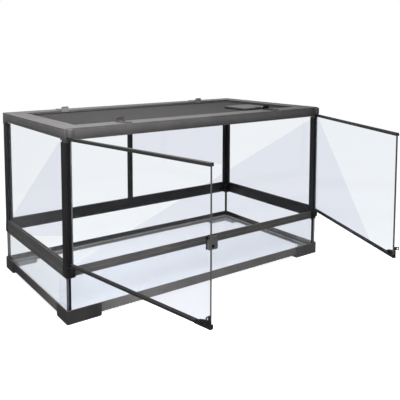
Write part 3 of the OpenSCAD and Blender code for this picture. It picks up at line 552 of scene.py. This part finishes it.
# %% Finishes of the plastic
UPWARD, BACKWARD = (0, 0, 1), (0, 1, 0)
# Painted shade: the rims go darker towards their lower edge and the base towards the back.
RIM_PAINTED_SHADE = {"Direction": UPWARD, "Dark_At": 0.456, "Full_At": 0.482, "Darkest": 0.3}
SIDE_RIM_PAINTED_SHADE = {"Direction": UPWARD, "Dark_At": 0.454, "Full_At": 0.486, "Darkest": 0.2}
BASE_PAINTED_SHADE = {"Direction": BACKWARD, "Dark_At": 0.16, "Full_At": -0.2, "Darkest": 0.1}

rail_black = moulded_plastic("rail_black", (0.05, 0.048, 0.048), (0.066, 0.063, 0.062),
                             rough=(0.34, 0.52), edge=0.3, specular=0.35)
# The rims' pale tone is painted light, and their strong rubbed edges a painted highlight.
rim_black = moulded_plastic("rim_black", (0.1, 0.096, 0.096), (0.13, 0.124, 0.122),
                            rough=(0.36, 0.55), edge=0.9, specular=0.32, painted_shade=RIM_PAINTED_SHADE)
side_rim_black = moulded_plastic("side_rim_black", (0.1, 0.096, 0.096), (0.13, 0.124, 0.122),
                                 rough=(0.36, 0.55), edge=0.9, specular=0.32,
                                 painted_shade=SIDE_RIM_PAINTED_SHADE)
base_black = moulded_plastic("base_black", (0.1, 0.095, 0.095), (0.13, 0.124, 0.12),
                             rough=(0.34, 0.52), edge=0.3, specular=0.35, painted_shade=BASE_PAINTED_SHADE)
post_black = moulded_plastic("post_black", (0.008, 0.008, 0.0085), (0.012, 0.012, 0.013),
                             rough=(0.3, 0.46), edge=0.1, dust_and_sheen=0.1, specular=0.2)
foot_black = moulded_plastic("foot_black", (0.028, 0.027, 0.027), (0.038, 0.036, 0.035),
                             rough=(0.32, 0.5), edge=0.2, specular=0.3)
door_black = moulded_plastic("door_black", (0.016, 0.016, 0.017), (0.022, 0.022, 0.023),
                             rough=(0.26, 0.4), edge=0.3, specular=0.3)
handle_black = moulded_plastic("handle_black", (0.01, 0.0095, 0.01), (0.016, 0.015, 0.016),
                               rough=(0.2, 0.34), edge=0.15, dust_and_sheen=0.05, specular=0.35)
clip_grey = moulded_plastic("clip_grey", (0.2, 0.196, 0.193), (0.27, 0.265, 0.26),
                            rough=(0.3, 0.5), specular=0.25)
# A paler copy with strongly rubbed edges: partly wear, partly painted light on better-lit pieces.
worn_and_lit_black = moulded_plastic("worn_and_lit_black", (0.062, 0.06, 0.059), (0.085, 0.083, 0.081),
                             rough=(0.3, 0.5), edge=0.8, specular=0.25)
screen_black = moulded_plastic("screen_black", (0.012, 0.012, 0.012), (0.02, 0.02, 0.02),
                               rough=(0.36, 0.5), edge=0.2, specular=0.2)
print("finishes:", [m.name for m in bpy.data.materials if m.name.endswith(("black", "grey"))])

# %% [markdown]
# ## Float glass
# Clear panes are easy to overdo. The faces are a plain clear refractive shader with a faint
# cold tint and a film of wiping marks in the roughness. Glass in a path tracer blocks lamps
# and would throw a dark shadow, so for shadow rays the pane turns into a thin tinted filter.
# Where a ray meets several panes their mirrored light adds up to a milky veil, so the panes
# nearest the viewer, the doors and the floor pane have a lower index and mirror less. The
# floor pane also has a slight bloom, which keeps what lies under it from showing sharply.

# %% Clear glass
FILM_SCALE, FILM_FROM, FILM_TO = 7.0, 0.5, 0.85
film_group, given, result = new_group("wiped_film", [("Haze", FLOAT, 0.03)],
                                      [("Roughness", FLOAT)])
wiped = noise(film_group, (-700, -100), Scale=FILM_SCALE, Detail=4.0, Distortion=1.2)
haze = ranged(film_group, wiped, (-480, -100), From_Min=FILM_FROM, From_Max=FILM_TO,
              To_Max=given.outputs["Haze"])
join(film_group, haze, result.inputs["Roughness"])


def pane_glass(name, tint, filter_tint, clear=1.0, ior=1.2):
    material, tree, shader = principled(name)
    shader.inputs["Base Color"].default_value = (*tint, 1)
    shader.inputs["Transmission Weight"].default_value = clear
    shader.inputs["IOR"].default_value = ior
    film = placed(tree, film_group, (-300, -100))
    join(tree, film.outputs["Roughness"], shader.inputs["Roughness"])
    path = add(tree, "ShaderNodeLightPath", (-200, 320))
    thin = add(tree, "ShaderNodeBsdfTransparent", (-200, -320), Color=(*filter_tint, 1))
    surface = mixed(tree, path.outputs["Is Shadow Ray"], shader, thin, (320, 60))
    join(tree, surface, tree.nodes["Material Output"].inputs["Surface"])
    return material


far_glass = pane_glass("far_glass", (0.935, 0.945, 0.955), (0.94, 0.95, 0.96))
near_glass = pane_glass("near_glass", (1.0, 1.0, 1.0), (0.97, 0.975, 0.98), ior=1.08)
door_glass = pane_glass("door_glass", (0.925, 0.94, 0.955), (0.94, 0.95, 0.96), ior=1.08)
floor_glass = pane_glass("floor_glass", (0.875, 0.895, 0.925), (0.9, 0.92, 0.94), clear=0.85,
                         ior=1.03)
for glass in (far_glass, near_glass, door_glass, floor_glass):
    index = glass.node_tree.nodes["Principled BSDF"].inputs["IOR"].default_value
    print(glass.name, "index:", round(index, 2))

# %% [markdown]
# ## Ground edges, silicone, wire and steel
# The cut edges of a pane are ground and not polished: they are dark grey-green, and they draw
# the thin lines by which a pane is seen at all. Silicone is nearly black and wet-looking,
# and where it faces up a pale painted sheen stands in for the reflection its curve catches.
# The screen's wire is dark coated steel, rough enough not to sparkle. The pins are bright
# steel and the clips' screws are blackened. Under all of them lies one effect, a *speckle*,
# whose single noise drives tone, roughness and bump together.

# %% Speckle and ground edges
speckle_group, given, result = new_group(
    "speckle",
    [("Dark", COLOR, (0.03, 0.03, 0.03, 1)), ("Pale", COLOR, (0.1, 0.1, 0.1, 1)),
     ("Scale", FLOAT, 400.0), ("Detail", FLOAT, 4.0), ("Smoothest", FLOAT, 0.3),
     ("Roughest", FLOAT, 0.5)],
    [("Color", COLOR), ("Roughness", FLOAT), ("Height", FLOAT)])
grit = noise(speckle_group, (-700, 0), Scale=given.outputs["Scale"],
             Detail=given.outputs["Detail"])
tone = blend(speckle_group, grit, given.outputs["Dark"], given.outputs["Pale"], (-400, 100))
rough = ranged(speckle_group, grit, (-400, -120), To_Min=given.outputs["Smoothest"],
               To_Max=given.outputs["Roughest"])
join(speckle_group, tone, result.inputs["Color"])
join(speckle_group, rough, result.inputs["Roughness"])
join(speckle_group, grit, result.inputs["Height"])


def ground_edge(name):
    material, tree, shader = principled(name)
    shader.inputs["Specular IOR Level"].default_value = 0.25
    ground = placed(tree, speckle_group, (-500, 0), Dark=(0.03, 0.036, 0.036, 1),
                    Pale=(0.09, 0.1, 0.1, 1), Scale=900.0, Detail=3.0, Smoothest=0.25,
                    Roughest=0.45)
    join(tree, ground.outputs["Color"], shader.inputs["Base Color"])
    join(tree, ground.outputs["Roughness"], shader.inputs["Roughness"])
    return material


glass_edge = ground_edge("glass_edge")
print("groups:", [g.name for g in bpy.data.node_groups])

# %% Silicone, wire, steel
PAINTED_SHEEN_TONE = (0.5, 0.5, 0.49, 1)
SHEEN_STEEPEST = 0.15
SPECKLE_BUMP, SPECKLE_DEPTH = 0.1, 0.0003


def speckled(name, dark, pale, scale, rough, metallic=0.0, dust_and_sheen=0.0):
    material, tree, shader = principled(name)
    shader.inputs["Metallic"].default_value = metallic
    smoothest, roughest = rough
    speckle = placed(tree, speckle_group, (-700, 0), Dark=(*dark, 1), Pale=(*pale, 1), Scale=scale,
                     Smoothest=smoothest, Roughest=roughest)
    dust_and_sheen_node = placed(tree, dust_and_sheen_group, (-620, 300), Amount=dust_and_sheen, Steepest=SHEEN_STEEPEST)
    sheened = blend(tree, dust_and_sheen_node.outputs["Mask"], speckle.outputs["Color"], PAINTED_SHEEN_TONE, (-200, 200))
    join(tree, sheened, shader.inputs["Base Color"])
    join(tree, speckle.outputs["Roughness"], shader.inputs["Roughness"])
    relief = add(tree, "ShaderNodeBump", (-300, -320), Strength=SPECKLE_BUMP,
                 Distance=SPECKLE_DEPTH)
    join(tree, speckle.outputs["Height"], relief.inputs["Height"])
    join(tree, relief.outputs[0], shader.inputs["Normal"])
    return material


# On the silicone, the full pale tone on what faces up is a painted sheen, not dust.
silicone = speckled("silicone", (0.012, 0.012, 0.013), (0.025, 0.025, 0.026), scale=120.0,
                    rough=(0.12, 0.3), dust_and_sheen=1.0)
wire = speckled("wire", (0.036, 0.034, 0.034), (0.062, 0.059, 0.058), scale=400.0,
                rough=(0.45, 0.65))
steel = speckled("steel", (0.5, 0.5, 0.51), (0.66, 0.66, 0.67), scale=800.0, rough=(0.2, 0.38),
                 metallic=1.0)
black_steel = speckled("black_steel", (0.05, 0.05, 0.05), (0.1, 0.1, 0.1), scale=800.0,
                       rough=(0.35, 0.5), metallic=1.0)
print("materials:", len(bpy.data.materials))

# %% [markdown]
# ## Rounding the moulded pieces
# No moulded edge is sharp: a tool leaves 0.3 to 0.6 mm on it, and that radius draws the pale
# line along every rail. The construction solids have true corners, so each visible piece is
# a copy of its solid with the coplanar triangles dissolved and a bevel on every real edge.
# Weighted normals keep the big faces flat while the narrow bevels shade round.

# %% Copies and modifiers
SAME_POINT = 2e-6
COPLANAR = math.radians(0.6)
REAL_EDGE = math.radians(40)


def bare_copy(node, name):
    """A copy of a node's solid with its coplanar triangles joined."""
    shape = bmesh.new()
    shape.from_mesh(frame["nodes"][node].data)
    bmesh.ops.remove_doubles(shape, verts=shape.verts, dist=SAME_POINT)
    bmesh.ops.dissolve_limit(shape, angle_limit=COPLANAR, verts=shape.verts, edges=shape.edges)
    mesh = bpy.data.meshes.new(name)
    shape.to_mesh(mesh)
    shape.free()
    copy = bpy.data.objects.new(name, mesh)
    bpy.context.scene.collection.objects.link(copy)
    return copy


def apply_modifiers(piece):
    bpy.context.view_layer.update()
    graph = bpy.context.evaluated_depsgraph_get()
    mesh = bpy.data.meshes.new_from_object(piece.evaluated_get(graph))
    piece.modifiers.clear()
    old = piece.data
    piece.data = mesh
    bpy.data.meshes.remove(old)


def weld_slivers(piece):
    """Joins the points that a clamped bevel leaves on top of each other."""
    shape = bmesh.new()
    shape.from_mesh(piece.data)
    bmesh.ops.remove_doubles(shape, verts=shape.verts, dist=SAME_POINT)
    bmesh.ops.dissolve_degenerate(shape, edges=shape.edges, dist=SAME_POINT)
    shape.to_mesh(piece.data)
    shape.free()


print("bevelled where faces meet at more than", round(math.degrees(REAL_EDGE)), "degrees")

# %% [markdown]
# Fine grooves run along the rails' outer faces. A groove is cut into the mesh and not
# painted: three level cuts go through the piece, and the points of the middle one that lie
# on the outer face sink in. Its edges are marked as creases, because smooth shading would
# otherwise average so narrow a V away.

# %% Grooves
GROOVE_HALF = 0.9 * MM
GROOVE_DEPTH = 1.5 * MM
CREASE = math.radians(50)
CUT_SLACK, SAME_LEVEL = 1e-7, 1e-6
FACE_BAND = 0.1 * MM


def groove(piece, outward, height):
    """Sinks a fine V-groove along the piece's outer face at a height in millimetres."""
    shape = bmesh.new()
    shape.from_mesh(piece.data)
    face_at = max(vert.co.dot(outward) for vert in shape.verts)
    middle = height * MM
    for level_z in (middle - GROOVE_HALF, middle, middle + GROOVE_HALF):
        whole = shape.verts[:] + shape.edges[:] + shape.faces[:]
        bmesh.ops.bisect_plane(shape, geom=whole, dist=CUT_SLACK, plane_co=(0, 0, level_z),
                               plane_no=(0, 0, 1))
    for vert in shape.verts:
        on_face = vert.co.dot(outward) > face_at - FACE_BAND
        if on_face and abs(vert.co.z - middle) < SAME_LEVEL:
            vert.co -= outward * GROOVE_DEPTH
    shape.normal_update()
    for edge in shape.edges:
        if len(edge.link_faces) == 2 and edge.calc_face_angle() > CREASE:
            edge.smooth = False
    shape.to_mesh(piece.data)
    shape.free()


print("groove, mm:", round(2 * GROOVE_HALF / MM, 2), "wide,", round(GROOVE_DEPTH / MM, 2), "deep")

# %% [markdown]
# One function stands the dressed copy in for its solid: it bevels, welds where asked, cuts
# the grooves, evens out the normals, gives the finish, and says which body the piece rides
# on and which node it replaces. Both come from the record, so no piece can end up on the
# wrong body.

# %% Rounded copies of solids
BODY_OF = {n: body for body, nodes in frame["record"]["behaviour"]["bodies"].items() for n in nodes}
TIGHT_EDGE, FINE_EDGE, PLAIN_EDGE, SOFT_EDGE = 0.3, 0.4, 0.5, 0.6
PLAIN, SMOOTH = 2, 3


def rounded(node, material, radius=PLAIN_EDGE, segments=PLAIN, grooves=(), weld=False):
    """Stands a bevelled copy in for a node, in one material. The radius is in millimetres."""
    piece = bare_copy(node, node + "_moulded")
    bevel = piece.modifiers.new("edges", "BEVEL")
    bevel.width = radius * MM
    bevel.segments = segments
    bevel.limit_method = "ANGLE"
    bevel.angle_limit = REAL_EDGE
    bevel.use_clamp_overlap = True
    piece.data.shade_smooth()
    apply_modifiers(piece)
    if weld:
        weld_slivers(piece)
    for outward, height in grooves:
        groove(piece, outward, height)
    normals = piece.modifiers.new("normals", "WEIGHTED_NORMAL")
    normals.keep_sharp = True
    apply_modifiers(piece)
    piece.data.materials.clear()
    piece.data.materials.append(material)
    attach(piece, BODY_OF[node])
    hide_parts(node)
    return piece


# %% [markdown]
# Which finish goes where paints in the light a place gets, and follows the hands that touch it:
# the rims are painted pale, the far rails, the posts and the right end of the top painted dark
# as shade, and the left middle rail and one foot take the paler worn copy as painted light.
# Groove heights are in millimetres above the floor.

# %% Rails, corners, posts, feet and clips
OUTWARD = {"front": Vector((0, -1, 0)), "back": Vector((0, 1, 0)),
           "left": Vector((-1, 0, 0)), "right": Vector((1, 0, 0))}
MID_GROOVES = (131.5,)
TOP_GROOVES = {"front": (482.2, 459.0), "back": (482.2, 459.0),
               "left": (482.2, 469.0, 463.0), "right": (482.2, 469.0, 463.0)}
# Darker finishes on the far and right pieces are painted shade; paler ones on the left, painted
# light.
MID_FINISH = {"front": rail_black, "left": worn_and_lit_black, "back": post_black, "right": post_black}
TOP_FINISH = {"front": rim_black, "left": side_rim_black, "back": rim_black, "right": rail_black}
CORNERS = ("front_left", "front_right", "back_left", "back_right")
TOP_CORNER_FINISH = {"front_left": rim_black, "front_right": rail_black, "back_left": rim_black,
                     "back_right": rail_black}
FOOT_FINISH = {"front_left": foot_black, "front_right": worn_and_lit_black, "back_left": foot_black,
               "back_right": foot_black}
# The front clips are one plastic: the left one painted paler as light, the right one nearly black
# as shade.
CLIP_FINISH = {"front_left": worn_and_lit_black, "front_right": screen_black, "back_left": clip_grey,
               "back_right": clip_grey}

made = [rounded("base_frame", base_black)]
for side, outward in OUTWARD.items():
    low = [(outward, height) for height in MID_GROOVES]
    high = [(outward, height) for height in TOP_GROOVES[side]]
    made.append(rounded(f"mid_{side}_rail", MID_FINISH[side], FINE_EDGE, grooves=low))
    made.append(rounded(f"top_{side}_rail", TOP_FINISH[side], grooves=high))
for corner in CORNERS:
    made.append(rounded(f"{corner}_foot", FOOT_FINISH[corner]))
    made.append(rounded(f"mid_{corner}_corner", post_black))
    made.append(rounded(f"top_{corner}_corner", TOP_CORNER_FINISH[corner]))
    made.append(rounded(f"{corner}_post", post_black))
    made.append(rounded(f"{corner}_clip", CLIP_FINISH[corner], TIGHT_EDGE, weld=True))
print("cabinet and clips:", len(made))

# %% [markdown]
# The hasp, the hatch cover and the doors' rails and handles are what hands hold, so their
# edges are rounder and smoother than those of the strut, the screen's frame and its ring.

# %% Screen, hasp and doors
# The right door's rails take the nearly black post finish as painted shade.
DOOR_FINISH = {"left": door_black, "right": post_black}

for node in ("back_strut", "hasp_bracket"):
    made.append(rounded(node, post_black, FINE_EDGE))
made.append(rounded("hasp", worn_and_lit_black, PLAIN_EDGE, SMOOTH))
# The screen's frame and the hatch ring are nearly black as painted shade of the recess round them;
# the hatch cover takes the pale rim finish as painted light.
made.append(rounded("screen_frame", screen_black))
made.append(rounded("hatch_ring", screen_black, FINE_EDGE))
made.append(rounded("hatch_cover", rim_black, SOFT_EDGE, SMOOTH))
for hand, finish in DOOR_FINISH.items():
    made.append(rounded(f"{hand}_door_top_rail", finish, SOFT_EDGE, SMOOTH))
    made.append(rounded(f"{hand}_door_bottom_rail", finish, SOFT_EDGE, SMOOTH))
    made.append(rounded(f"{hand}_door_handle", handle_black, FINE_EDGE, SMOOTH))
print("moulded pieces:", len(made), "faces:", sum(len(p.data.polygons) for p in made))

# %% [markdown]
# ## Panes
# A pane is its solid with an arris of half a millimetre ground on each edge. The faces that
# one looks through are clear glass and the narrow sides are ground, so a pane has two
# materials. The script tells them apart by each face's normal: a face that isn't parallel to
# the pane's largest one is ground.

# %% Panes
ARRIS = 0.5
PARALLEL = 0.99
CLEAR, GROUND = 0, 1


def pane(node, glass):
    piece = bare_copy(node, node + "_pane")
    bevel = piece.modifiers.new("arris", "BEVEL")
    bevel.width = ARRIS * MM
    bevel.segments = 1
    apply_modifiers(piece)
    mesh = piece.data
    mesh.materials.clear()
    mesh.materials.append(glass)
    mesh.materials.append(glass_edge)
    through = max(mesh.polygons, key=lambda f: f.area).normal.copy()
    for face in mesh.polygons:
        looks_through = abs(face.normal.dot(through)) > PARALLEL
        face.material_index = CLEAR if looks_through else GROUND
    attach(piece, BODY_OF[node])
    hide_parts(node)
    return piece


NEAR_PANES = ("left_side_glass", "left_door_glass")
FAR_PANES = ("right_side_glass", "back_left_glass", "back_right_glass", "tank_front_glass",
             "tank_left_glass", "tank_back_glass", "tank_right_glass")
panes = [pane(n, near_glass) for n in NEAR_PANES] + [pane(n, far_glass) for n in FAR_PANES]
panes += [pane("right_door_glass", door_glass), pane("bottom_glass", floor_glass)]
print("panes:", len(panes))

# %% [markdown]
# ## The screen's mesh
# The screen is fine woven wire. Modelled wire by wire with its weave it would be millions of
# faces that nobody could make out; as a flat sheet with holes painted in, it would look like
# paper from the side. In between, straight wires in two layers keep the mesh's open look,
# its shadow and its shimmer for a few thousand faces. They stop at the hatch ring, which
# holds their ends, and leave the hatch's opening free.

# %% Mesh wires
MESH_PITCH = 1.9 * MM
WIRE_HALF = 0.28 * MM
LAYER_HEIGHTS = (0.5 * MM, 1.1 * MM)
HOLD = 5 * MM
EAR_REACH = 7 * MM
ALONG_X, ALONG_Y = 0, 1
mesh_low, mesh_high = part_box("screen_mesh")
ring_low, ring_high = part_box("hatch_ring")
hole_low = (ring_low[0] + HOLD, ring_low[1] + HOLD)
hole_high = (ring_high[0] - HOLD, ring_high[1] - EAR_REACH - HOLD)


def wire_run(shape, start, end, across, half):
    """A straight wire of diamond section from start to end; across is its sideways direction."""
    lift = Vector((0, 0, half))
    wide = across * half
    ends = [[shape.verts.new(p + d) for d in (wide, lift, -wide, -lift)] for p in (start, end)]
    for i in range(4):
        j = (i + 1) % 4
        shape.faces.new((ends[0][i], ends[0][j], ends[1][j], ends[1][i]))
    shape.faces.new(ends[0][::-1])
    shape.faces.new(ends[1])


def wire_layer(shape, along, height):
    """All wires of one layer, and how many there are."""
    cross = 1 - along
    across = Vector((0, 1, 0)) if along == ALONG_X else Vector((1, 0, 0))
    count = int((mesh_high[cross] - mesh_low[cross]) / MESH_PITCH)
    laid = 0
    for i in range(1, count):
        at = mesh_low[cross] + i * MESH_PITCH
        spans = [(mesh_low[along], mesh_high[along])]
        if hole_low[cross] < at < hole_high[cross]:
            spans = [(mesh_low[along], hole_low[along]), (hole_high[along], mesh_high[along])]
        for low, high in spans:
            start, end = Vector((0, 0, height)), Vector((0, 0, height))
            start[along], end[along] = low, high
            start[cross] = end[cross] = at
            wire_run(shape, start, end, across, WIRE_HALF)
            laid += 1
    return laid


print("opening for the hatch, mm:", [round((b - a) / MM) for a, b in zip(hole_low, hole_high)])

# %% [markdown]
# Both layers go into one mesh, because one object with thousands of faces is far lighter to
# handle than hundreds of objects. It rides on the screen and stands for its plain solid.

# %% Lay the wires
shape = bmesh.new()
wires = wire_layer(shape, ALONG_X, mesh_low[2] + LAYER_HEIGHTS[0])
wires += wire_layer(shape, ALONG_Y, mesh_low[2] + LAYER_HEIGHTS[1])
bmesh.ops.recalc_face_normals(shape, faces=shape.faces)
mesh = bpy.data.meshes.new("screen_wires")
shape.to_mesh(mesh)
shape.free()
mesh.materials.append(wire)
screen_wires = bpy.data.objects.new("screen_wires", mesh)
bpy.context.scene.collection.objects.link(screen_wires)
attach(screen_wires, "screen")
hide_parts("screen_mesh")
print("wires:", wires)

# %% [markdown]
# ## Solids that stay
# The silicone fillets, the screws and the pins already have the right shape, so they keep
# their solids and only change material. None of them is rounded: the metal parts are small
# and turned, and the fillets lie tucked into corners.

# %% Finishes on the solids that stay
STAYING = {"tank_seals": silicone, "clip_screws": black_steel, "hasp_pin": steel,
           "left_door_pins": steel, "right_door_pins": steel}
for node, material in STAYING.items():
    data = frame["nodes"][node].data
    data.materials.clear()
    data.materials.append(material)
print("solids that stay:", len(STAYING))
